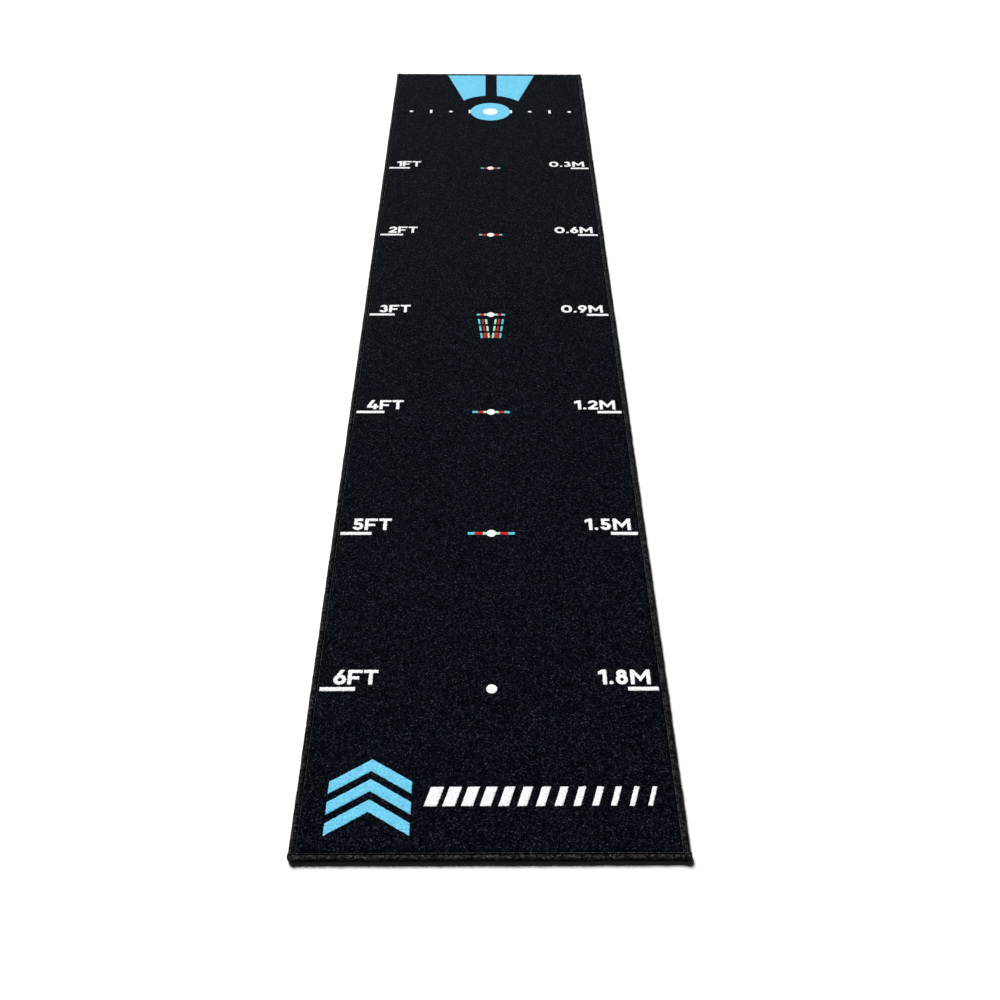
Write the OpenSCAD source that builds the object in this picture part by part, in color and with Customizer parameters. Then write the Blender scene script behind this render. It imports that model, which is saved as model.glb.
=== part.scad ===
// Practice putting mat: a printed cut-pile runner with a rubber back and serged edges.
// Frame: origin at the middle of the underside, +Y towards the target end, +X to the right, +Z up.

/* [Mat] */
// Width of the mat over the serged edges
mat_w = 500; // [490:1:520]
// Length of the mat over the serged edges
mat_l = 2321; // [2250:1:2600]
// Thickness from the floor to the top of the pile
mat_h = 8; // [7:0.5:10]
// Radius of the mat's four corners in plan
corner_r = 5; // [4:0.5:8]

/* [Layers] */
// Thickness of the rubber sheet
rubber_t = 1.5; // [1.2:0.1:2]
// Thickness of the latex that locks the tufts in
latex_t = 0.5; // [0.3:0.1:0.8]
// Thickness of the cloth that the tufts are sewn through
cloth_t = 0.5; // [0.3:0.1:0.8]

/* [Serged edge] */
// Width of the wrapped edge, seen from above
serge_w = 8.5; // [8:0.5:12]
// Thickness of the wrapping yarn over the pile
yarn_top = 1.1; // [0.8:0.1:1.3]
// Thickness of the wrapping yarn under the rubber
yarn_under = 0.5; // [0.3:0.1:0.8]
// Thickness of the wrapping yarn outside the cut edge
yarn_side = 2.2; // [2:0.1:2.6]
// Width of the needle thread beside the wrapping
needle_w = 1; // [0.8:0.1:1.2]
// Height of the needle thread
needle_h = 0.8; // [0.5:0.1:1]

/* [Target] */
// Distance from the target's centre to the mat's rear edge
target_to_rear = 234; // [220:1:240]
// Sideways shift of the whole pattern from the mat's centre line
print_shift = 3.3; // [0:0.1:4]
// Diameter of the target disc
target_d = 101.6; // [95:0.1:108]
// Diameter of the white dot in the target's middle
bull_d = 38.1; // [36:0.1:46]
// Distance between neighbouring marks in the cross row through the target
row_pitch = 50.8; // [50:0.1:52]
// Diameter of the round marks in the cross row
row_dot_d = 9.5; // [9:0.5:12]
// Width and length of the upright marks in the cross row
row_tick = [6, 18]; // [5:0.5:30]
// Half width and length of the two marks that stick out from under the disc
rim_tick = [55.8, 17.5]; // [17:0.1:60]

/* [Wings] */
// Radius of the wings' near ends, about the target's centre
wing_r = 95.5; // [92:0.5:100]
// Half the gap between the two wings
wing_gap = 15.1; // [12:0.1:17]
// Half width that the wings' outer edges have level with the target
wing_foot = 52.8; // [52:0.1:58]
// Angle by which the wings' outer edges spread from straight ahead
wing_angle = 16; // [14:0.5:18]
// Sideways shift of the gap between the wings from the target's centre
wing_shift = 2.3; // [0:0.1:3]

/* [Distance lines] */
// Distance from one line to the next
foot = 304.8; // [300:0.1:305]
// Number of lines
lines = 6; // [6]
// Thickness of a line
line_t = 6.8; // [6:0.1:9]
// Half width of the clear field between the lines' inner ends
line_inner = 191; // [185:0.5:195]
// Gap between a line's outer end and the edge of the open pile
line_margin = 3.1; // [0:0.1:4]
// Height of the figures and letters
cap_h = 26; // [26]
// Gap between a line and the foot of its label
label_gap = 4.1; // [2:0.1:6]
// Where the labels on the left begin
left_start = -223; // [-226:1:-215]
// Where the labels on the right end
right_end = 224.2; // [215:0.1:226]
// Gap between the characters of a label on the left
left_space = 1.8; // [1.5:0.1:3]
// Gap between the characters of a label on the right
right_space = 3.1; // [2:0.1:3.5]

/* [Gates] */
// Diameter of the white dot in the middle of each gate
gate_dot_d = 15.5; // [14:0.5:17]
// Thickness of a gate
gate_t = 6.2; // [5:0.1:8]
// Half width of each gate, the gate nearest the target first
gate_half = [23, 25.5, 27.8, 33.4, 37.4]; // [20:0.1:40]
// Width of each gate's blue ends
gate_blue_w = [6.5, 6.5, 6.5, 9.5, 10.2]; // [5:0.1:12]
// Half width of the green middle in the gates that have one
gate_green_half = 13.6; // [12:0.1:15]
// Number of the first gate with a green middle
first_green_gate = 3; // [3]

/* [Lanes] */
// Number of the gate that the dashed lanes run to
lane_gate = 3; // [3]
// Distance from the gate's middle line to the first dashes
lane_start = 15.7; // [14:0.1:18]
// Length of a dash
dash_l = 16.7; // [14:0.1:18]
// Distance from one dash to the next in a lane
dash_pitch = 23.35; // [22:0.05:26]
// Width of a dash
dash_w = 3.9; // [3.5:0.1:5]
// Width of the nearest red dash
wide_dash_w = 7.1; // [4:0.1:7.6]
// Half width between the blue, red and green lanes at their first dashes
lane_half = [23.8, 16.5, 9.8]; // [9:0.1:26]
// Angle by which the lanes close in towards the player
lane_angle = 5.7; // [4:0.1:6]

/* [End band] */
// Distance from the mat's near edge to the band's middle
band_y = 88; // [80:1:110]
// Number of nested chevrons
chevrons = 3; // [3]
// Half width of a chevron
chevron_half = 54; // [45:1:56]
// Middle of the chevrons, from the pattern's middle line
chevron_x = -158; // [-160:1:-150]
// Length of a chevron's stroke along the mat
chevron_t = 18; // [12:1:20]
// Distance from one chevron to the next
chevron_pitch = 30; // [26:1:34]
// Rise of a chevron from its feet to its point
chevron_rise = 34; // [20:1:36]
// Number of slanted bars
bars = 13; // [10:1:14]
// Distance from one bar to the next
bar_pitch = 24; // [22:0.5:24]
// Width of the first and of the last bar
bar_w = [17, 6]; // [4:0.5:18]
// Length of the bars along the mat
bar_l = 28.5; // [24:0.5:32]
// Sideways lean of a bar over its length
bar_lean = 9; // [0:0.5:12]
// Where the first bar begins
bar_start = -88; // [-92:1:-84]

/* [Hidden] */
$fn = 48;

pile_z = rubber_t + latex_t + cloth_t;
pile_h = mat_h - pile_z;
tongue_top = mat_h - yarn_top;
// The open pile ends where the needle thread runs beside the wrapping.
field_w = mat_w - 2 * (serge_w + needle_w);
field_l = mat_l - 2 * (serge_w + needle_w);
tongue_w = mat_w - 2 * yarn_side;
tongue_l = mat_l - 2 * yarn_side;
target_y = mat_l / 2 - target_to_rear;
band_middle = band_y - mat_l / 2 - target_y;
edge_round = 4;
foot_round = 2.5;
inner_round = 0.9;
stroke_w = 5.8;

// ---- plane shapes -------------------------------------------------------------------------

module plate(size) {
  translate([-size[0] / 2, -size[1] / 2]) square(size);
}

module stroke(a, b, w) {
  run = b - a;
  translate(a) rotate(atan2(run[1], run[0])) translate([0, -w / 2]) square([norm(run), w]);
}

module pie(r, from, to) {
  steps = ceil((to - from) / 60);
  spokes = [for (i = [0:steps]) from + (to - from) * i / steps];
  polygon(concat([[0, 0]], [for (a = spokes) 2 * r * [cos(a), sin(a)]]));
}

module bow(middle, r, from, to) {
  translate(middle) intersection() {
    difference() {
      circle(r);
      circle(r - stroke_w);
    }
    pie(r, from, to);
  }
}

module bowl(middle, r) {
  translate(middle) difference() {
    circle(r);
    circle(r - stroke_w);
  }
}

// ---- figures and letters, each drawn from its lower left corner ---------------------------

function glyph_w(c) = c == "1" ? 12 : c == "." ? 6 : c == "M" ? 28.5 : c == "0" ? 21.6
  : c == "F" || c == "T" || c == "4" ? 20.5 : 18;

module glyph_zero() {
  r = glyph_w("0") / 2;
  difference() {
    union() {
      translate([r, r]) circle(r);
      translate([r, cap_h - r]) circle(r);
      translate([0, r]) square([2 * r, cap_h - 2 * r]);
    }
    translate([r, r]) circle(r - stroke_w);
    translate([r, cap_h - r]) circle(r - stroke_w);
    translate([stroke_w, r]) square([2 * (r - stroke_w), cap_h - 2 * r]);
  }
}

module glyph_one() {
  polygon([[12, 0], [12, cap_h], [7, cap_h], [0, 22.5], [0, 16], [6.2, 18.8], [6.2, 0]]);
}

module glyph_two() {
  bow([9, 17.2], 8.8, -45, 180);
  stroke([13.4, 13.5], [3.2, 3.6], stroke_w);
  square([18, stroke_w]);
}

module glyph_three() {
  bow([9, 18.6], 7.4, -90, 170);
  bow([9, 8.4], 8.4, -170, 90);
}

module glyph_four() {
  bar = [4.6, 10.2];
  stem = [11.2, 11.2 + stroke_w];
  polygon(concat(
    [[0, bar[0]], [0, bar[1] - 0.6], [7.2, cap_h], [13.8, cap_h], [6.7, bar[1]]],
    [[stem[0], bar[1]], [stem[0], 15.5], [stem[1], 15.5], [stem[1], bar[1]], [20.5, bar[1]]],
    [[20.5, bar[0]], [stem[1], bar[0]], [stem[1], 0], [stem[0], 0], [stem[0], bar[0]]]));
}

module glyph_five() {
  translate([2.4, cap_h - stroke_w]) square([14, stroke_w]);
  translate([2.4, 11.5]) square([5.4, cap_h - 11.5]);
  bow([9, 8.7], 8.7, -170, 115);
}

module glyph_six() {
  bowl([9, 9], 9);
  intersection() {
    stroke([3.6, 11], [12.6, 27], stroke_w);
    square([18, cap_h]);
  }
}

module glyph_nine() {
  translate([glyph_w("9"), cap_h]) rotate(180) glyph_six();
}

module glyph_eight() {
  bowl([9, 18.6], 7.4);
  bowl([9, 8.6], 8.6);
}

module glyph_point() {
  translate([3, 3]) circle(3);
}

module glyph_f() {
  square([stroke_w, cap_h]);
  translate([0, cap_h - stroke_w]) square([20.5, stroke_w]);
  translate([0, 9]) square([16.5, 5.4]);
}

module glyph_t() {
  translate([0, cap_h - stroke_w]) square([20.5, stroke_w]);
  translate([(20.5 - stroke_w) / 2, 0]) square([stroke_w, cap_h]);
}

module glyph_m() {
  half = [[14.25, 4.6], [stroke_w, 16.5], [stroke_w, 0], [0, 0], [0, cap_h], [5.4, cap_h]];
  polygon(concat(half, [[14.25, 13.8], [23.1, cap_h], [28.5, cap_h], [28.5, 0]],
    [[28.5 - stroke_w, 0], [28.5 - stroke_w, 16.5]]));
}

module glyph(c) {
  if (c == "0") glyph_zero();
  if (c == "1") glyph_one();
  if (c == "2") glyph_two();
  if (c == "3") glyph_three();
  if (c == "4") glyph_four();
  if (c == "5") glyph_five();
  if (c == "6") glyph_six();
  if (c == "8") glyph_eight();
  if (c == "9") glyph_nine();
  if (c == ".") glyph_point();
  if (c == "F") glyph_f();
  if (c == "T") glyph_t();
  if (c == "M") glyph_m();
}

// The width of the first n characters of a label, with the gap after each.
function run_w(chars, space, n) = n == 0 ? 0 : run_w(chars, space, n - 1) + glyph_w(chars[n - 1]) + space;

module label(chars, space) {
  for (i = [0:len(chars) - 1]) translate([run_w(chars, space, i), 0]) glyph(chars[i]);
}

// ---- the printed pattern, with the target's centre at the origin --------------------------

function line_y(k) = -k * foot;
function feet_text(k) = str(k, "FT");
function metre_text(k) = str(floor(3 * k / 10), ".", (3 * k) % 10, "M");

module both_sides() {
  children();
  mirror([1, 0]) children();
}

module disc_shape() {
  difference() {
    circle(target_d / 2);
    circle(bull_d / 2);
  }
}

module rim_tick_shape() {
  difference() {
    plate([2 * rim_tick[0], rim_tick[1]]);
    circle(target_d / 2);
  }
}

module row_dot_shape() {
  both_sides() for (n = [2, 4]) translate([n * row_pitch, 0]) circle(row_dot_d / 2);
}

module row_tick_shape() {
  both_sides() translate([3 * row_pitch, 0]) plate(row_tick);
}

module wing_shape() {
  reach = field_l / 2 - target_y;
  spread = wing_foot + reach * tan(wing_angle);
  difference() {
    translate([wing_shift, 0]) both_sides()
      polygon([[wing_gap, 0], [wing_foot, 0], [spread, reach], [wing_gap, reach]]);
    circle(wing_r);
  }
}

// A line runs from beside the edge of the open pile to the clear field, on the left with side = -1.
module line_shape(side) {
  inner = side * line_inner;
  outer = side * (field_w / 2 - line_margin) - print_shift;
  for (k = [1:lines]) translate([min(inner, outer), line_y(k) - line_t / 2])
    square([abs(outer - inner), line_t]);
}

module feet_label_shape() {
  for (k = [1:lines]) translate([left_start, line_y(k) + line_t / 2 + label_gap])
    label(feet_text(k), left_space);
}

module metre_label_shape() {
  for (k = [1:lines]) {
    text = metre_text(k);
    x = right_end + right_space - run_w(text, right_space, len(text));
    translate([x, line_y(k) + line_t / 2 + label_gap]) label(text, right_space);
  }
}

module gate_dot_shape() {
  for (k = [1:lines]) translate([0, line_y(k)]) circle(gate_dot_d / 2);
}

// The strip of a gate between two distances from its middle, on both sides, outside the dot.
module gate_strip(k, from, to) {
  translate([0, line_y(k)]) difference() {
    both_sides() translate([from, -gate_t / 2]) square([to - from, gate_t]);
    circle(gate_dot_d / 2);
  }
}

function red_from(k) = k < first_green_gate ? 0 : gate_green_half;
function blue_from(k) = gate_half[k - 1] - gate_blue_w[k - 1];

module gate_blue_shape() {
  for (k = [1:len(gate_half)]) gate_strip(k, blue_from(k), gate_half[k - 1]);
}

module gate_red_shape() {
  for (k = [1:len(gate_half)]) gate_strip(k, red_from(k), blue_from(k));
}

module gate_green_shape() {
  for (k = [first_green_gate:len(gate_half)]) gate_strip(k, 0, gate_green_half);
}

// Three dashes of one lane on both sides, the last of them as wide as last_w.
module lane_shape(lane, last_w) {
  both_sides() for (i = [0:2]) {
    w = i == 2 ? last_w : dash_w;
    along = lane_start + i * dash_pitch;
    x = lane_half[lane] - i * dash_pitch * tan(lane_angle);
    translate([x, line_y(lane_gate) - along]) rotate(-lane_angle) translate([-w / 2, -dash_l])
      square([w, dash_l]);
  }
}

module chevron_shape() {
  x = chevron_half;
  drop = chevron_rise + chevron_t;
  for (i = [0:chevrons - 1]) translate([chevron_x, band_middle + (i - 1) * chevron_pitch + drop / 2])
    polygon([[0, 0], [x, -chevron_rise], [x, -drop], [0, -chevron_t], [-x, -drop], [-x, -chevron_rise]]);
}

module bar_shape() {
  for (i = [0:bars - 1]) {
    w = bar_w[0] + (bar_w[1] - bar_w[0]) * i / (bars - 1);
    translate([bar_start + i * bar_pitch, band_middle - bar_l / 2])
      polygon([[0, 0], [w, 0], [w + bar_lean, bar_l], [bar_lean, bar_l]]);
  }
}

module pattern_shape() {
  circle(target_d / 2);
  rim_tick_shape();
  row_dot_shape();
  row_tick_shape();
  wing_shape();
  line_shape(-1);
  line_shape(1);
  feet_label_shape();
  metre_label_shape();
  gate_dot_shape();
  for (k = [1:len(gate_half)]) gate_strip(k, 0, gate_half[k - 1]);
  lane_shape(0, dash_w);
  lane_shape(1, wide_dash_w);
  lane_shape(2, dash_w);
  chevron_shape();
  bar_shape();
}

// A printed area is a block of dyed tufts, standing on the tufting cloth.
module dyed_pile() {
  translate([print_shift, target_y, pile_z]) linear_extrude(pile_h) children();
}

// ---- layers -------------------------------------------------------------------------------

// A flat layer whose rim lies between two heights inside the wrapping.
module layer(low, high) {
  translate([0, 0, low]) linear_extrude(high - low) plate([tongue_w, tongue_l]);
}

module rubber_backing() {
  color("#1c1c1b") {
    layer(yarn_under, rubber_t);
    linear_extrude(yarn_under) plate([mat_w - 2 * serge_w, mat_l - 2 * serge_w]);
  }
}

module latex_coat() {
  color("#b9b4a4") layer(rubber_t, rubber_t + latex_t);
}

module tufting_cloth() {
  color("#d8d4c8") layer(rubber_t + latex_t, pile_z);
}

module pile_field() {
  color("#11141c") {
    difference() {
      translate([0, 0, pile_z]) linear_extrude(pile_h) plate([field_w, field_l]);
      translate([print_shift, target_y, pile_z - 1]) linear_extrude(pile_h + 2) pattern_shape();
    }
    difference() {
      layer(pile_z, tongue_top);
      translate([0, 0, pile_z - 1]) linear_extrude(pile_h + 2) plate([field_w, field_l]);
    }
  }
}

// ---- printed areas ------------------------------------------------------------------------

module target_disc() {
  color("#72d2ee") dyed_pile() disc_shape();
}

module target_bull() {
  color("#f4f6fa") dyed_pile() circle(bull_d / 2);
}

module rim_ticks() {
  color("#f4f6fa") dyed_pile() rim_tick_shape();
}

module row_dots() {
  color("#f4f6fa") dyed_pile() row_dot_shape();
}

module row_ticks() {
  color("#f4f6fa") dyed_pile() row_tick_shape();
}

module target_wings() {
  color("#72d2ee") dyed_pile() wing_shape();
}

module left_lines() {
  color("#f4f6fa") dyed_pile() line_shape(-1);
}

module right_lines() {
  color("#f4f6fa") dyed_pile() line_shape(1);
}

module feet_labels() {
  color("#f4f6fa") dyed_pile() feet_label_shape();
}

module metre_labels() {
  color("#f4f6fa") dyed_pile() metre_label_shape();
}

module gate_dots() {
  color("#f4f6fa") dyed_pile() gate_dot_shape();
}

module gate_blue() {
  color("#5ccbe6") dyed_pile() gate_blue_shape();
}

module gate_red() {
  color("#d83238") dyed_pile() gate_red_shape();
}

module gate_green() {
  color("#a6eec0") dyed_pile() gate_green_shape();
}

module lane_blue() {
  color("#5ccbe6") dyed_pile() lane_shape(0, dash_w);
}

module lane_red() {
  color("#d83238") dyed_pile() lane_shape(1, wide_dash_w);
}

module lane_green() {
  color("#a6eec0") dyed_pile() lane_shape(2, dash_w);
}

module end_chevrons() {
  color("#5cc4f4") dyed_pile() chevron_shape();
}

module end_bars() {
  color("#f4f6fa") dyed_pile() bar_shape();
}

// ---- edge ---------------------------------------------------------------------------------

// The wrapping's outline: x is the distance in from the mat's edge, y is the height.
module serging_section() {
  difference() {
    union() {
      translate([foot_round, 0]) square([serge_w - foot_round, mat_h - edge_round]);
      translate([0, foot_round]) square([serge_w, mat_h - edge_round - foot_round]);
      translate([edge_round, mat_h - edge_round]) square([serge_w - edge_round, edge_round - inner_round]);
      translate([edge_round, mat_h - edge_round]) square([serge_w - edge_round - inner_round, edge_round]);
      translate([foot_round, foot_round]) circle(foot_round);
      translate([edge_round, mat_h - edge_round]) circle(edge_round);
      translate([serge_w - inner_round, mat_h - inner_round]) circle(inner_round);
    }
    translate([yarn_side, yarn_under]) square([serge_w, tongue_top - yarn_under]);
  }
}

// A run along the left side, from one short run to the other.
module side_run() {
  run = mat_l - 2 * serge_w;
  translate([-mat_w / 2, run / 2, 0]) rotate([90, 0, 0]) linear_extrude(run) serging_section();
}

// A run across the near end, closed at both of its ends and rounded at the mat's corners.
module end_run() {
  difference() {
    intersection() {
      translate([-mat_w / 2, -mat_l / 2, 0]) rotate([90, 0, 90]) linear_extrude(mat_w)
        union() {
          serging_section();
          translate([yarn_side, yarn_under]) square([serge_w - yarn_side, tongue_top - yarn_under]);
        }
      linear_extrude(mat_h) corner_outline();
    }
    layer(yarn_under, tongue_top);
  }
}

module corner_outline() {
  plate([mat_w - 2 * corner_r, mat_l]);
  plate([mat_w, mat_l - 2 * corner_r]);
  for (x = [-1, 1], y = [-1, 1]) translate([x * (mat_w / 2 - corner_r), y * (mat_l / 2 - corner_r)])
    circle(corner_r);
}

module serging_left() {
  color("#17181d") side_run();
}

module serging_right() {
  color("#17181d") mirror([1, 0, 0]) side_run();
}

module serging_front() {
  color("#17181d") end_run();
}

module serging_rear() {
  color("#17181d") mirror([0, 1, 0]) end_run();
}

// The line of needle stitches lies in the channel between the wrapping and the open pile.
module needle_thread() {
  color("#8d9099") translate([0, 0, tongue_top]) linear_extrude(needle_h) difference() {
    plate([mat_w - 2 * serge_w, mat_l - 2 * serge_w]);
    plate([field_w, field_l]);
  }
}

rubber_backing();
latex_coat();
tufting_cloth();
pile_field();
target_disc();
target_bull();
rim_ticks();
row_dots();
row_ticks();
target_wings();
left_lines();
right_lines();
feet_labels();
metre_labels();
gate_dots();
gate_blue();
gate_red();
gate_green();
lane_blue();
lane_red();
lane_green();
end_chevrons();
end_bars();
serging_left();
serging_right();
serging_front();
serging_rear();
needle_thread();
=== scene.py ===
"""The looks of a practice putting mat: tufted pile with printed areas, a serged edge and a rubber back."""

import math

import bpy
import numpy as np
from mathutils import Matrix, Vector
from mathutils.geometry import delaunay_2d_cdt


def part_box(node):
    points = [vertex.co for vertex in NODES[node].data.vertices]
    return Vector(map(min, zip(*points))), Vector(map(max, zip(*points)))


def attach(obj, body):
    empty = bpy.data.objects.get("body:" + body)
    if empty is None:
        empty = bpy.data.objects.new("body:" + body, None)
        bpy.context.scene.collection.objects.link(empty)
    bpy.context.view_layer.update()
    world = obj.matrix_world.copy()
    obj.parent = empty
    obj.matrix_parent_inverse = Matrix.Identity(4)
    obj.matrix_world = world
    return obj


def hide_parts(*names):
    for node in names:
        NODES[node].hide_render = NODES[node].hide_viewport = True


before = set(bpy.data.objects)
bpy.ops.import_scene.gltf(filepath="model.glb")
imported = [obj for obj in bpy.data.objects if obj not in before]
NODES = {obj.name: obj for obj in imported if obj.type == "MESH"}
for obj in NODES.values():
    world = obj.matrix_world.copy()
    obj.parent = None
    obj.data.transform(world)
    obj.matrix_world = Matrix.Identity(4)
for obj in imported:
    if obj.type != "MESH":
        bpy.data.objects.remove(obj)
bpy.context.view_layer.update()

MM = 0.001
RANDOM = np.random.default_rng(20)

# The printed areas, each with the record's slot that it takes its dye from.
PRINTED = {
    "target_disc": "pile_blue",
    "target_bull": "pile_white",
    "rim_ticks": "pile_white",
    "row_dots": "pile_white",
    "row_ticks": "pile_white",
    "target_wings": "pile_blue",
    "left_lines": "pile_white",
    "right_lines": "pile_white",
    "feet_labels": "pile_white",
    "metre_labels": "pile_white",
    "gate_dots": "pile_white",
    "gate_blue": "pile_cyan",
    "gate_red": "pile_red",
    "gate_green": "pile_green",
    "lane_blue": "pile_cyan",
    "lane_red": "pile_red",
    "lane_green": "pile_green",
    "end_chevrons": "pile_blue",
    "end_bars": "pile_white",
}


# ---- camera, floor and lights ------------------------------------------------------------------


def add_camera():
    """The view from the player's end, 44 degrees down, 2.2 m from the mat's middle."""
    data = bpy.data.cameras.new("camera")
    data.sensor_width = 36.0
    data.lens = 40.34
    data.clip_end = 50.0
    camera = bpy.data.objects.new("camera", data)
    bpy.context.scene.collection.objects.link(camera)
    pitch, yaw, roll = 0.7638, 0.0143, 0.0101
    forward = Vector((math.sin(yaw) * math.cos(pitch), math.cos(yaw) * math.cos(pitch), -math.sin(pitch)))
    level = Vector((math.cos(yaw), -math.sin(yaw), 0.0))
    upright = level.cross(forward)
    right = level * math.cos(roll) + upright * math.sin(roll)
    up = upright * math.cos(roll) - level * math.sin(roll)
    place = Matrix((right, up, -forward)).transposed().to_4x4()
    place.translation = Vector((-1.6, -1851.1, 1282.4)) * MM
    camera.matrix_world = place
    bpy.context.scene.camera = camera


def add_studio():
    """A pale floor, a white surround and one broad key from behind the target end, to its left."""
    data = bpy.data.meshes.new("floor")
    side = 15.0
    corners = [(-side, -side, 0), (side, -side, 0), (side, side, 0), (-side, side, 0)]
    data.from_pydata(corners, [], [(0, 1, 2, 3)])
    floor = bpy.data.objects.new("floor", data)
    bpy.context.scene.collection.objects.link(floor)
    material = bpy.data.materials.new("floor_paper")
    material.use_nodes = True
    shader = material.node_tree.nodes["Principled BSDF"]
    shader.inputs["Base Color"].default_value = (0.94, 0.94, 0.94, 1.0)
    shader.inputs["Roughness"].default_value = 0.9
    shader.inputs["Specular IOR Level"].default_value = 0.1
    data.materials.append(material)

    world = bpy.data.worlds.new("studio")
    world.use_nodes = True
    sky = world.node_tree.nodes["Background"]
    sky.inputs["Color"].default_value = (1.0, 1.0, 1.0, 1.0)
    # The surround looks white, and lights the mat only dimly, so that the key makes the shadows.
    rays = world.node_tree.nodes.new("ShaderNodeLightPath")
    seen = world.node_tree.nodes.new("ShaderNodeMapRange")
    seen.inputs["To Min"].default_value = 0.02
    world.node_tree.links.new(rays.outputs["Is Camera Ray"], seen.inputs["Value"])
    world.node_tree.links.new(seen.outputs["Result"], sky.inputs["Strength"])
    bpy.context.scene.world = world

    data = bpy.data.lights.new("key", "SUN")
    data.energy = 6.1
    data.angle = math.radians(25.0)
    key = bpy.data.objects.new("key", data)
    bearing, height = math.radians(27.0), math.radians(40.0)
    level = Vector((-math.sin(bearing), math.cos(bearing), 0.0))
    towards = level * math.cos(height) + Vector((0.0, 0.0, math.sin(height)))
    key.rotation_euler = towards.to_track_quat("Z", "Y").to_euler()
    key.location = towards * 4.0
    bpy.context.scene.collection.objects.link(key)
    bpy.context.scene.view_settings.view_transform = "Standard"


# ---- materials ---------------------------------------------------------------------------------


class Nodes:
    """A short way to build a material's node tree around its Principled shader."""

    def __init__(self, name):
        self.material = bpy.data.materials.new(name)
        self.material.use_nodes = True
        self.tree = self.material.node_tree
        self.shader = self.tree.nodes["Principled BSDF"]
        self.coords = self.tree.nodes.new("ShaderNodeTexCoord").outputs["Object"]

    def add(self, kind, values=None, **settings):
        node = self.tree.nodes.new("ShaderNode" + kind)
        for key, value in settings.items():
            setattr(node, key, value)
        for key, value in (values or {}).items():
            if isinstance(value, bpy.types.NodeSocket):
                self.tree.links.new(value, node.inputs[key])
            else:
                node.inputs[key].default_value = value
        return node

    def noise(self, scale, detail=2.0):
        values = {"Vector": self.coords, "Scale": scale, "Detail": detail, "Roughness": 0.6}
        return self.add("TexNoise", values).outputs["Fac"]

    def cells(self, scale, output="Color"):
        values = {"Vector": self.coords, "Scale": scale, "Randomness": 1.0}
        return self.add("TexVoronoi", values).outputs[output]

    def cell_shade(self, scale, channel):
        """A value from 0 to 1 that is the same all over a cell."""
        return self.add("SeparateColor", {"Color": self.cells(scale)}).outputs[channel]

    def painted_shade_by_height(self, low, high, least):
        """Painted shade low down: the share of its colour that a surface shows, least up to the height low,
        all of it from high.
        """
        height = self.add("SeparateXYZ", {"Vector": self.coords}).outputs["Z"]
        values = {"Value": height, "From Min": low, "From Max": high, "To Min": least}
        return self.add("MapRange", values).outputs[0]

    def ramp(self, value, stops):
        node = self.add("ValToRGB", {"Fac": value})
        band = node.color_ramp
        while len(band.elements) < len(stops):
            band.elements.new(0.5)
        for element, (place, colour) in zip(band.elements, stops):
            element.position = place
            element.color = (*colour, 1.0)
        return node.outputs["Color"]

    def multiply(self, a, b):
        """The product of two colours. Sockets 6, 7 and 2 are the Mix node's colour inputs and output."""
        values = {0: 1.0, 6: a, 7: b}
        return self.add("Mix", values, data_type="RGBA", blend_type="MULTIPLY").outputs[2]

    def bump(self, height, strength, distance, normal=None):
        values = {"Height": height, "Strength": strength, "Distance": distance}
        if normal:
            values["Normal"] = normal
        return self.add("Bump", values).outputs["Normal"]

    def link(self, value, socket):
        self.tree.links.new(value, self.shader.inputs[socket])

    def plain(self, **values):
        for key, value in values.items():
            self.shader.inputs[key.replace("_", " ")].default_value = value


# How many tufts, groups of tufts, fibres and patches of yarn, smoother with brighter painted glints or
# rougher with dimmer ones, go to a metre.
TUFTS = 780.0
GROUPS = 360.0
FIBRES = 2600.0
PATCHES = 340.0


def pile_material(name, shades, mottling, gloss=0.05, tint=(1.0, 1.0, 1.0)):
    """Cut pile: every tuft has its own shade, in lighter and darker small groups, its lightest tufts painted
    glints, and painted shade darkens it low down where it is pressed.
    """
    n = Nodes(name)
    colour = n.ramp(n.cell_shade(TUFTS, 0), shades)
    fibre = n.noise(FIBRES)
    for value, low in ((n.cell_shade(GROUPS, 1), 1.0 - mottling), (fibre, 1.0 - 0.5 * mottling)):
        colour = n.multiply(colour, n.ramp(value, [(0.25, (low,) * 3), (0.75, (1.0,) * 3)]))
    # Painted shade where the pile is pressed low, along the needle thread and under the wrapping.
    n.link(n.multiply(colour, n.painted_shade_by_height(6.3 * MM, 7.3 * MM, 0.12)), "Base Color")
    groups = n.bump(n.cells(GROUPS, "Distance"), 0.4, 1.0 * MM)
    tufts = n.bump(n.cells(TUFTS, "Distance"), 1.0, 0.9 * MM, groups)
    n.link(n.bump(fibre, 0.4, 0.3 * MM, tufts), "Normal")
    n.plain(Roughness=0.9, Specular_IOR_Level=gloss, Specular_Tint=(*tint, 1.0))
    return n.material


def yarn_material(name, shades, scale, gloss, roughness):
    """Spun yarn: dark between its fibres, with painted glints on its lightest fibres that are brighter where
    the yarn is smoother, and painted shade low down.
    """
    n = Nodes(name)
    strand = n.noise(scale, 4.0)
    patch = n.cell_shade(PATCHES, 0)
    # Painted glints: how bright the yarn's lightest fibres are in each patch.
    painted_glint_strength = n.ramp(patch, [(0.3, (0.12,) * 3), (0.95, (1.0,) * 3)])
    colour = n.multiply(n.ramp(strand, shades), painted_glint_strength)
    # Painted shade low down: the wrapping's flank and underside, and stitches sunk in the pile, are darkened.
    n.link(n.multiply(colour, n.painted_shade_by_height(3.8 * MM, 7.2 * MM, 0.02)), "Base Color")
    n.link(n.ramp(patch, [(0.2, (roughness + 0.3,) * 3), (0.95, (roughness - 0.1,) * 3)]), "Roughness")
    strands = n.bump(strand, 0.8, 0.6 * MM)
    n.link(n.bump(n.noise(scale * 4.0, 3.0), 0.7, 0.4 * MM, strands), "Normal")
    n.plain(Specular_IOR_Level=gloss)
    return n.material


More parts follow.
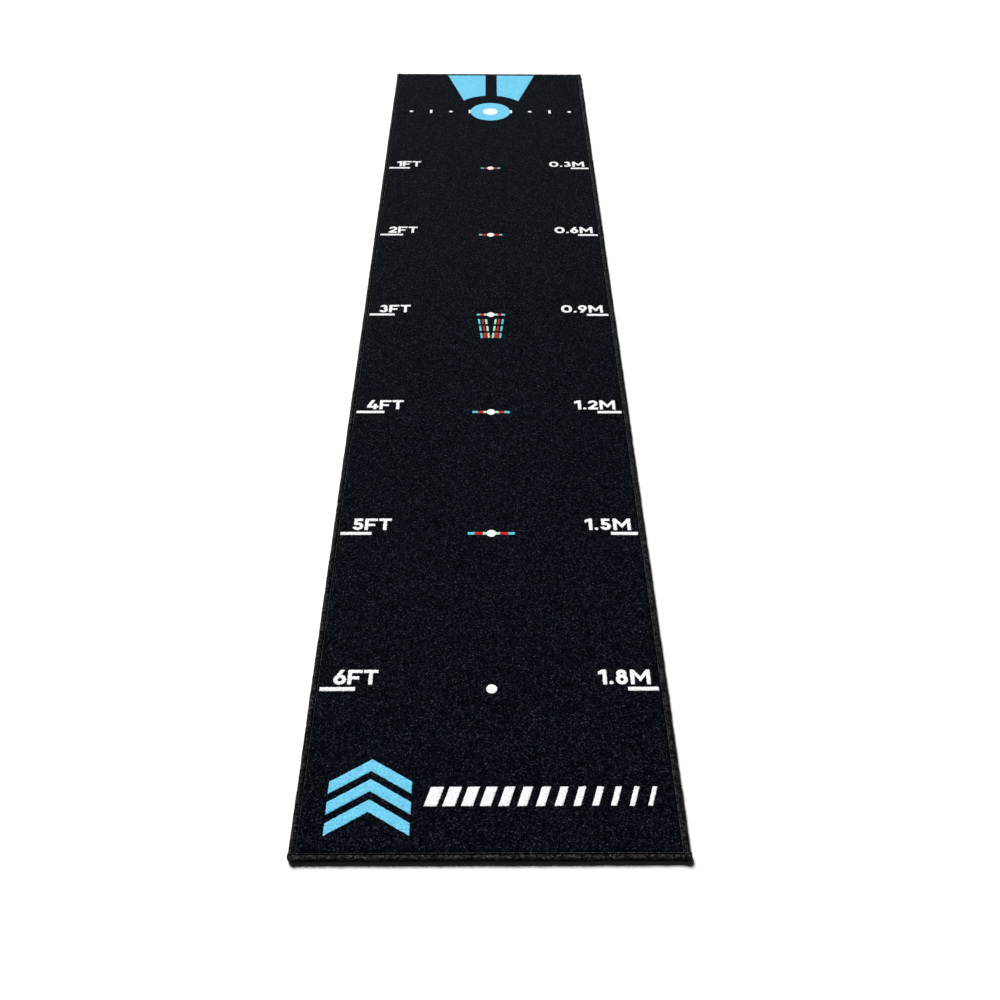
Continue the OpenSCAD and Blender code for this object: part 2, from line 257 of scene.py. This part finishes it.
def rubber_material():
    """Rubber pressed against cloth: a fine square grain, dusty in the hollows."""
    n = Nodes("rubber")
    pressed = n.cells(520.0, "Distance")
    dust = n.noise(30.0, 5.0)
    n.link(n.ramp(dust, [(0.35, (0.014, 0.014, 0.014)), (0.75, (0.03, 0.029, 0.027))]), "Base Color")
    n.link(n.ramp(dust, [(0.3, (0.62,) * 3), (0.8, (0.85,) * 3)]), "Roughness")
    n.link(n.bump(pressed, 0.5, 0.4 * MM), "Normal")
    n.plain(Specular_IOR_Level=0.4)
    return n.material


def layer_material(name, dark, light, scale):
    """The hidden layers: dried latex, and the woven cloth that holds the tufts."""
    n = Nodes(name)
    values = {"Vector": n.coords, "Scale": scale, "Distortion": 1.5, "Detail": 2.0}
    weave = n.add("TexWave", values).outputs["Fac"]
    n.link(n.ramp(weave, [(0.2, dark), (0.8, light)]), "Base Color")
    n.link(n.bump(weave, 0.4, 0.3 * MM), "Normal")
    n.plain(Roughness=0.85, Specular_IOR_Level=0.2)
    return n.material


MATERIALS = {
    # The black pile's two lightest stops are painted glints on fibre tips; the rest is the pile's own dark
    # tone.
    "pile_black": pile_material("pile_black", [
        (0.0, (0.0001, 0.0005, 0.0028)), (0.6, (0.0016, 0.0029, 0.0074)),
        (0.80, (0.010, 0.012, 0.020)), (0.94, (0.029, 0.032, 0.043)), (1.0, (0.065, 0.070, 0.088)),
    ], 0.75, 0.025, (0.5, 0.9, 1.0)),
    "pile_white": pile_material("pile_white", [
        (0.0, (0.86, 0.88, 0.91)), (0.5, (0.91, 0.93, 0.95)), (1.0, (0.96, 0.97, 0.98)),
    ], 0.05),
    "pile_blue": pile_material("pile_blue", [
        (0.0, (0.13, 0.52, 0.80)), (0.5, (0.17, 0.64, 0.88)), (1.0, (0.24, 0.72, 0.95)),
    ], 0.1),
    "pile_cyan": pile_material("pile_cyan", [
        (0.0, (0.05, 0.60, 0.68)), (0.5, (0.075, 0.72, 0.80)), (1.0, (0.14, 0.82, 0.88)),
    ], 0.1),
    "pile_red": pile_material("pile_red", [
        (0.0, (0.55, 0.010, 0.012)), (0.5, (0.68, 0.016, 0.018)), (1.0, (0.78, 0.04, 0.04)),
    ], 0.1),
    "pile_green": pile_material("pile_green", [
        (0.0, (0.30, 0.84, 0.55)), (0.5, (0.38, 0.92, 0.64)), (1.0, (0.52, 0.96, 0.74)),
    ], 0.1),
    # The yarn's two lightest stops are painted glints; the rest is the yarn's own dark tone.
    "yarn_black": yarn_material("yarn_black", [
        (0.37, (0.003, 0.003, 0.004)), (0.51, (0.021, 0.021, 0.025)), (0.625, (0.125, 0.125, 0.138)),
        (0.72, (0.45, 0.45, 0.475)),
    ], 900.0, 0.03, 0.45),
    "thread_grey": yarn_material("thread_grey", [
        (0.35, (0.05, 0.051, 0.056)), (0.68, (0.20, 0.202, 0.215)),
    ], 2200.0, 0.3, 0.5),
    "rubber": rubber_material(),
    "latex": layer_material("latex", (0.42, 0.39, 0.32), (0.50, 0.47, 0.40), 60.0),
    "cloth": layer_material("cloth", (0.52, 0.50, 0.44), (0.68, 0.66, 0.60), 420.0),
}


# ---- meshes ------------------------------------------------------------------------------------


def make_piece(name, points, triangles, slot, node):
    """A mesh object in the frame that stands for a CAD node, with its material, its slot and its body."""
    mesh = bpy.data.meshes.new(name)
    points = np.asarray(points, np.float32)
    triangles = np.asarray(triangles, np.int32)
    mesh.vertices.add(len(points))
    mesh.vertices.foreach_set("co", points.ravel())
    mesh.loops.add(triangles.size)
    mesh.loops.foreach_set("vertex_index", triangles.ravel())
    mesh.polygons.add(len(triangles))
    mesh.polygons.foreach_set("loop_start", np.arange(0, triangles.size, 3, dtype=np.int32))
    mesh.polygons.foreach_set("use_smooth", np.ones(len(triangles), bool))
    mesh.update(calc_edges=True)
    mesh.materials.append(MATERIALS[slot])
    piece = bpy.data.objects.new(name, mesh)
    bpy.context.scene.collection.objects.link(piece)
    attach(piece, "root")
    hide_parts(node)
    return piece


def rim_of(triangles):
    """The directed edges that only one of the triangles has."""
    edges = np.concatenate([triangles[:, [0, 1]], triangles[:, [1, 2]], triangles[:, [2, 0]]])
    key = np.sort(edges, axis=1)
    key = key[:, 0].astype(np.int64) * (triangles.max() + 1) + key[:, 1]
    _, first, count = np.unique(key, return_index=True, return_counts=True)
    return edges[first[count == 1]]


def top_outline(node):
    """The outline of a CAD node's top face, as pairs of points in the plane."""
    mesh = NODES[node].data
    mesh.calc_loop_triangles()
    points = np.empty(len(mesh.vertices) * 3)
    mesh.vertices.foreach_get("co", points)
    points = points.reshape(-1, 3)
    triangles = np.empty(len(mesh.loop_triangles) * 3, np.int32)
    mesh.loop_triangles.foreach_get("vertices", triangles)
    rounded, which = np.unique(np.round(points, 6), axis=0, return_inverse=True)
    triangles = which.ravel()[triangles].reshape(-1, 3)
    top = np.all(rounded[triangles][:, :, 2] > rounded[:, 2].max() - 0.01 * MM, axis=1)
    return rounded[rim_of(triangles[top])][:, :, :2]


def inside(points, outline):
    """For each point, whether the closed outline goes round it."""
    order = np.argsort(points[:, 1])
    x, y = points[order].T
    flips = np.zeros(len(points), bool)
    for (x0, y0), (x1, y1) in outline:
        if y0 > y1:
            x0, y0, x1, y1 = x1, y1, x0, y0
        first, last = np.searchsorted(y, (y0, y1))
        if first < last:
            flips[first:last] ^= x[first:last] < x0 + (y[first:last] - y0) * (x1 - x0) / (y1 - y0)
    found = np.empty(len(points), bool)
    found[order] = flips
    return found


# ---- pile --------------------------------------------------------------------------------------

# The mesh is fine within NEAR_PRINT of a printed outline and near the edges, and coarse elsewhere.
COARSE = 4.0 * MM
FINE = 1.15 * MM
NEAR_PRINT = 2.6 * MM
ROW_STEP = 0.866
# How far the pile is pressed down, by its distance inwards from the needle thread, both in mm.
PRESSED_AT = (-2.6, -1.0, 0.0, 0.9, 2.0, 4.5)
PRESSED_BY = (3.6, 3.1, 2.2, 1.0, 0.35, 0.0)
PILE_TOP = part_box("pile_field")[1].z
PILE_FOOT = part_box("pile_field")[0].z
# Half the size of the open pile, and of the pile that runs on under the wrapping.
NEEDLE = np.abs(top_outline("pile_field").reshape(-1, 2)).max(axis=0)
FIELD = NEEDLE - PRESSED_AT[0] * MM


def lattice(pitch, jitter):
    """Tuft sites in staggered rows over the open pile, each a little out of place."""
    inset = FIELD - 0.4 * pitch
    rows = np.arange(-inset[1], inset[1], pitch * ROW_STEP)
    columns = np.arange(-inset[0], inset[0], pitch)
    x, y = np.meshgrid(columns, rows)
    x[1::2] += pitch / 2
    sites = np.stack([x.ravel(), y.ravel()], axis=1)
    sites += RANDOM.uniform(-jitter, jitter, sites.shape) * pitch
    return sites[np.all(np.abs(sites) < inset, axis=1)]


def near_outline(sites, outlines):
    """Which sites lie within NEAR_PRINT of a printed outline, or near the mat's edges."""
    cell = 1.3 * MM
    size = np.ceil(2 * FIELD / cell).astype(int) + 1
    marked = np.zeros(size, bool)
    for a, b in outlines:
        steps = max(2, int(np.linalg.norm(b - a) / cell * 2))
        run = a + (b - a) * np.linspace(0, 1, steps)[:, None]
        i, j = np.clip(((run + FIELD) / cell).astype(int), 0, size - 1).T
        marked[i, j] = True
    reach = int(round(NEAR_PRINT / cell))
    wide = marked.copy()
    for i in range(-reach, reach + 1):
        for j in range(-reach, reach + 1):
            if i * i + j * j <= reach * reach:
                wide |= np.roll(marked, (i, j), axis=(0, 1))
    i, j = np.clip(((sites + FIELD) / cell).astype(int), 0, size - 1).T
    return wide[i, j] | np.any(np.abs(sites) > NEEDLE - PRESSED_AT[-1] * MM, axis=1)


def pile_sites(outlines):
    """All tuft sites: coarse, fine and along the pile's rim."""
    coarse, fine = lattice(COARSE, 0.3), lattice(FINE, 0.28)
    across, lengthwise = 400, 1900
    x = np.linspace(-FIELD[0], FIELD[0], across)
    y = np.linspace(-FIELD[1], FIELD[1], lengthwise)
    rim = [(x, np.full_like(x, s * FIELD[1])) for s in (-1, 1)]
    rim += [(np.full_like(y[1:-1], s * FIELD[0]), y[1:-1]) for s in (-1, 1)]
    rim = np.concatenate([np.stack(pair, axis=1) for pair in rim])
    open_pile = coarse[~near_outline(coarse, outlines)]
    return np.concatenate([open_pile, fine[near_outline(fine, outlines)], rim])


def triangulate(points, edges=()):
    """The points' Delaunay triangles, all turned to face up."""
    same_place = 1e-9
    found = delaunay_2d_cdt([tuple(p) for p in points.tolist()], [tuple(e) for e in edges], [], 0, same_place)
    triangles = np.array(found[2], np.int32)
    points = np.array([tuple(p) for p in found[0]])
    a, b, c = (points[triangles[:, k]] for k in range(3))
    turned = (b[:, 0] - a[:, 0]) * (c[:, 1] - a[:, 1]) < (b[:, 1] - a[:, 1]) * (c[:, 0] - a[:, 0])
    triangles[turned] = triangles[turned][:, ::-1]
    return points, triangles


def pile_heights(sites):
    """Uneven tuft tops, pressed down along the needle thread and under the wrapping."""
    gap = np.min(NEEDLE - np.abs(sites), axis=1) / MM
    pressed = np.interp(gap, PRESSED_AT, PRESSED_BY) * MM
    x, y = sites.T
    slow = np.sin(x * 61 + np.sin(y * 23) * 2) * np.sin(y * 47 + x * 19)
    uneven = RANDOM.uniform(-0.2, 0.2, len(sites)) * MM
    return PILE_TOP - 0.25 * MM + 0.1 * MM * slow + uneven - pressed


def block_of_tufts(name, points, heights, triangles, slot, node):
    """A closed block: uneven tops, upright sides and a flat foot on the tufting cloth."""
    used, local = np.unique(triangles, return_inverse=True)
    top = np.column_stack([points[used], heights[used]])
    triangles = local.reshape(-1, 3).astype(np.int32)
    rim = rim_of(triangles)
    corners, on_rim = np.unique(rim, return_inverse=True)
    on_rim = on_rim.reshape(-1, 2)
    plan, floor = triangulate(top[corners][:, :2], on_rim)
    assert len(plan) == len(corners), name
    floor = floor[inside(plan[floor].mean(axis=1), plan[on_rim])]
    foot = np.column_stack([plan, np.full(len(plan), PILE_FOOT)])
    low = on_rim + len(top)
    sides = np.concatenate([
        np.column_stack([rim[:, 1], rim[:, 0], low[:, 0]]),
        np.column_stack([rim[:, 1], low[:, 0], low[:, 1]]),
    ])
    everything = np.concatenate([triangles, sides, floor[:, ::-1] + len(top)])
    return make_piece(name, np.concatenate([top, foot]), everything, slot, node)


def make_pile():
    """The black pile, and the list of the printed blocks that are cut out of it."""
    outlines = {node: top_outline(node) for node in PRINTED}
    sites = pile_sites(np.concatenate(list(outlines.values())))
    sites, triangles = triangulate(sites)
    heights = pile_heights(sites)
    middles = sites[triangles].mean(axis=1)
    free = np.ones(len(triangles), bool)
    printed = []
    for node, outline in outlines.items():
        mine = inside(middles, outline) & free
        free &= ~mine
        tufts = (sites, heights, triangles[mine])
        printed.append(block_of_tufts(node + "_tufts", *tufts, PRINTED[node], node))
    black = block_of_tufts("black_pile", sites, heights, triangles[free], "pile_black", "pile_field")
    return black, printed


# ---- wrapped edge and needle thread ------------------------------------------------------------

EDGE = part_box("serging_right")[1].x
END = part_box("serging_rear")[1].y
# The wrapping's width, and the radius of the mat's corners.
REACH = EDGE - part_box("serging_right")[0].x
CORNER = 5.0 * MM
WRAP_PITCH = 2.3 * MM
# The yarn's middle line, from its top end in the needle's groove, over the edge, to its end underneath.
WRAP = np.array([
    (0.5, 4.9), (1.2, 5.8), (2.3, 6.6), (3.6, 7.2), (4.9, 7.5), (6.2, 7.3),
    (7.3, 6.3), (7.85, 4.8), (7.8, 3.0), (6.9, 1.4), (5.2, 0.6), (0.9, 0.5),
]) * MM
# Half the yarn's thickness at each point of that line.
WRAP_HALF = np.array([0.3, 0.62, 0.72, 0.74, 0.74, 0.74, 0.72, 0.7, 0.66, 0.55, 0.48, 0.3]) * MM
# How far each point of that line shares in a shift of the wrapping's crest.
CREST_SHARE = np.array([0, 0.2, 0.5, 0.8, 1, 1, 0.5, 0, 0, 0, 0, 0])
# The crest's shift outwards on each side, as the wrapping was pulled tighter on some sides than others.
CREST = {"left": -0.8 * MM, "right": -1.8 * MM, "front": 1.0 * MM, "rear": 0.0}
# How many points go round a tube, and how many turns of yarn fan round a corner.
SECTION = 6
CORNER_TURNS = 9


def wander(places, strength, seed):
    """A slow smooth wave along a run, for edges that are never quite straight."""
    waves = np.random.default_rng(seed)
    total = np.zeros_like(places)
    for length in (0.031, 0.083, 0.21, 0.57):
        total += np.sin(places * 2 * math.pi / length + waves.uniform(0, 7)) * waves.uniform(0.5, 1.0)
    return total * strength / 2.0


def tubes(paths, sideways, half_width, half_depth):
    """Closed flattened tubes along many paths at once, as points and triangles."""
    count, rings = paths.shape[:2]
    forward = np.gradient(paths, axis=1)
    forward /= np.linalg.norm(forward, axis=2, keepdims=True)
    depth = np.cross(forward, sideways)
    depth /= np.linalg.norm(depth, axis=2, keepdims=True)
    turn = np.arange(SECTION) * 2 * math.pi / SECTION
    ring = (
        paths[:, :, None]
        + sideways[:, :, None] * (half_width[..., None] * np.cos(turn))[..., None]
        + depth[:, :, None] * (half_depth[..., None] * np.sin(turn))[..., None]
    )
    points = ring.reshape(-1, 3)
    start = (np.arange(count)[:, None, None] * rings + np.arange(rings - 1)[:, None]) * SECTION
    here = np.arange(SECTION)
    after = (here + 1) % SECTION
    quads = [start + here, start + after, start + after + SECTION, start + here + SECTION]
    walls = [np.stack([quads[0], quads[1], quads[2]], -1), np.stack([quads[0], quads[2], quads[3]], -1)]
    fan = np.array([(0, k + 1, k) for k in range(1, SECTION - 1)])
    first = np.arange(count)[:, None, None] * rings * SECTION + fan
    last = np.arange(count)[:, None, None] * rings * SECTION + (rings - 1) * SECTION + fan[:, ::-1]
    parts = [w.reshape(-1, 3) for w in walls] + [first.reshape(-1, 3), last.reshape(-1, 3)]
    return points, np.concatenate(parts)


def wrapped_run(name, node, middle, out, along, reach, swell, seed):
    """One side's yarn: a turn of it at each middle point, reaching out from the inner line."""
    dice = np.random.default_rng(seed)
    count = len(middle)

    def spread(low, high):
        return dice.uniform(low, high, (count, 1))

    swell = swell[:, None]
    share = WRAP[:, 0] / REACH
    step = np.arange(len(WRAP))

    # How far out each point of a turn lies: the edge wanders slowly, and single turns differ.
    distance = np.concatenate([[0], np.cumsum(np.linalg.norm(np.diff(middle + out * REACH, axis=0), axis=1))])
    grow = 1 + swell * np.clip(share, 0, 1)
    reached = (WRAP[:, 0] + CREST_SHARE * CREST[node.split("_")[1]]) * grow * reach[:, None] / REACH
    reached += (wander(distance, 0.35 * MM, seed)[:, None] + spread(-0.18, 0.18) * MM) * share

    # Its height: all but the turn's underside is lifted a little more or less.
    lift = 1 + spread(-0.06, 0.03) + 0.5 * swell
    height = np.where(WRAP[:, 1] > 1 * MM, WRAP[:, 1] * lift, WRAP[:, 1])

    # Its lean along the edge, which turns back from the crest on, and the ragged top end.
    lean = (spread(-0.35, 0.35) * MM + 0.9 * MM) * (share - 0.5)
    lean = np.where(step < 6, lean, -lean * 0.4 + lean[:, 5:6] * 1.4)
    ends = spread(-0.5, 0.5) * MM * (step < 1)

    flat = middle[:, None] + out[:, None] * (reached + ends)[..., None] + along[:, None] * lean[..., None]
    paths = np.concatenate([flat, height[..., None]], axis=2)
    sideways = np.concatenate([along, np.zeros((count, 1))], axis=1)[:, None].repeat(len(WRAP), 1)
    thick = WRAP_HALF * (1 + spread(-0.1, 0.1) + swell)
    # Neighbouring turns overlap slightly, and taper at both ends.
    width = np.full_like(thick, WRAP_PITCH * 0.56) * spread(0.88, 1.12)
    width[:, [0, -1]] *= 0.6
    points, triangles = tubes(paths, sideways, width, thick)
    points[:, 2] = np.maximum(points[:, 2], 0)
    return make_piece(name, points, triangles, "yarn_black", node)


def make_serging():
    """The yarn round all four edges: straight runs at the sides, and end runs that fan round the corners."""
    runs = []
    inner = np.array([EDGE, END]) - REACH
    steps = int(round(2 * inner[1] / WRAP_PITCH))
    places = np.linspace(-inner[1], inner[1], steps)
    for name, side in (("left", -1), ("right", 1)):
        middle = np.stack([np.full(steps, side * inner[0]), places], axis=1)
        out = np.tile([side, 0.0], (steps, 1))
        along = np.tile([0.0, -side], (steps, 1))
        plain = np.zeros(steps)
        turns = (middle, out, along, plain + REACH, plain)
        runs.append(wrapped_run("wrapping_" + name, "serging_" + name, *turns, 7 + side))

    steps = int(round(2 * inner[0] / WRAP_PITCH))
    places = np.linspace(-inner[0], inner[0], steps)
    # The fan at a corner, by angle: square on the inside, and rounded beyond the corner's centre.
    angles = np.linspace(0, math.pi / 2, CORNER_TURNS + 1)[1:]
    sine, cosine = np.sin(angles), np.cos(angles)
    square = REACH / np.maximum(cosine, sine)
    offset = REACH - CORNER
    both = offset * (sine + cosine)
    rounded = both + np.sqrt(np.maximum(both**2 - 2 * offset**2 + CORNER**2, 0))
    radius = np.where(np.minimum(sine, cosine) * square > offset, rounded, square)
    for name, side in (("front", -1), ("rear", 1)):
        middle = np.stack([places, np.full(steps, side * inner[1])], axis=1)
        out = np.tile([0.0, side], (steps, 1))
        reach = np.full(steps, REACH)
        for end in (1, -1):
            corner = np.tile([end * inner[0], side * inner[1]], (len(angles), 1))
            fan = np.stack([end * sine, side * cosine], axis=1)
            run, bend = (middle, out, reach), (corner, fan, radius)
            if end > 0:
                middle, out, reach = (np.concatenate([old, new]) for old, new in zip(run, bend))
            else:
                middle, out, reach = (np.concatenate([new[::-1], old]) for old, new in zip(run, bend))
        along = np.stack([out[:, 1], -out[:, 0]], axis=1)
        # The yarn bunches up towards the corners, most of all at the front right one.
        past = np.clip((np.abs(middle[:, 0] + out[:, 0] * reach) - inner[0] + 8 * MM) / (10 * MM), 0, 1)
        bulge = np.where(middle[:, 0] > 0, 0.14 if side < 0 else 0.1, 0.08) * past**1.5
        turns = (middle, out, along, reach, bulge)
        runs.append(wrapped_run("wrapping_" + name, "serging_" + name, *turns, 11 + side))
    return runs


STITCH_PITCH = 2.8 * MM
# A stitch's middle line, as places along the row and heights, and half its thickness at each point.
STITCH = np.array([(-1.25, -0.55), (-0.95, 0.1), (-0.4, 0.3), (0.4, 0.3), (0.95, 0.1), (1.25, -0.55)]) * MM
STITCH_HALF = np.array([0.25, 0.42, 0.48, 0.48, 0.42, 0.25]) * MM
# Half the width of the row, and how far it ends before a corner.
ROW_HALF = 0.5 * MM
ROW_END = 1.2 * MM
# How deep the stitches sink into the pile on the left, and elsewhere, in mm.
# Sunk lower, the left row takes more of the thread's painted shade low down.
SUNK_LEFT = 1.9
SUNK = 0.35


def make_needle_thread():
    """A row of short stitches all round, each one dipping into the pile at both ends."""
    low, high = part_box("needle_thread")
    line = Vector((high.x - ROW_HALF, high.y - ROW_HALF))
    rows = []
    for axis in (0, 1):
        end = line[axis] - ROW_END
        places = np.arange(-end, end, STITCH_PITCH)
        for side in (-1, 1):
            base = np.zeros((len(places), 2))
            base[:, axis] = places + STITCH_PITCH / 2
            base[:, 1 - axis] = side * line[1 - axis] + wander(places, 0.12 * MM, 30 + axis * 2 + side)
            along = np.zeros_like(base)
            along[:, axis] = 1.0
            rows.append((base, along))
    base = np.concatenate([row[0] for row in rows])
    along = np.concatenate([row[1] for row in rows])
    count = len(base)
    angle = RANDOM.uniform(-0.12, 0.12, count)
    x, y = along.T
    along = np.stack([x * np.cos(angle) - y * np.sin(angle), x * np.sin(angle) + y * np.cos(angle)], axis=1)
    stretch = RANDOM.uniform(0.85, 1.08, (count, 1))
    flat = base[:, None] + along[:, None] * (STITCH[:, 0] * stretch)[..., None]
    middle = (low.z + high.z) / 2 - np.where(base[:, :1] < ROW_HALF - line[0], SUNK_LEFT, SUNK) * MM
    height = middle + STITCH[:, 1] * RANDOM.uniform(0.8, 1.2, (count, 1))
    height = height + RANDOM.uniform(-0.1, 0.1, (count, 1)) * MM
    paths = np.concatenate([flat, height[..., None]], axis=2)
    sideways = np.stack([-along[:, 1], along[:, 0], np.zeros(count)], axis=1)[:, None].repeat(len(STITCH), 1)
    half = np.tile(STITCH_HALF, (count, 1))
    points, triangles = tubes(paths, sideways, half, half * 0.85)
    return make_piece("needle_stitches", points, triangles, "thread_grey", "needle_thread")


# ---- build -------------------------------------------------------------------------------------

add_camera()
add_studio()
black_pile, printed_pile = make_pile()
wrapping = make_serging()
stitches = make_needle_thread()

for layer, slot in (("rubber_backing", "rubber"), ("latex_coat", "latex"), ("tufting_cloth", "cloth")):
    NODES[layer].data.materials.clear()
    NODES[layer].data.materials.append(MATERIALS[slot])
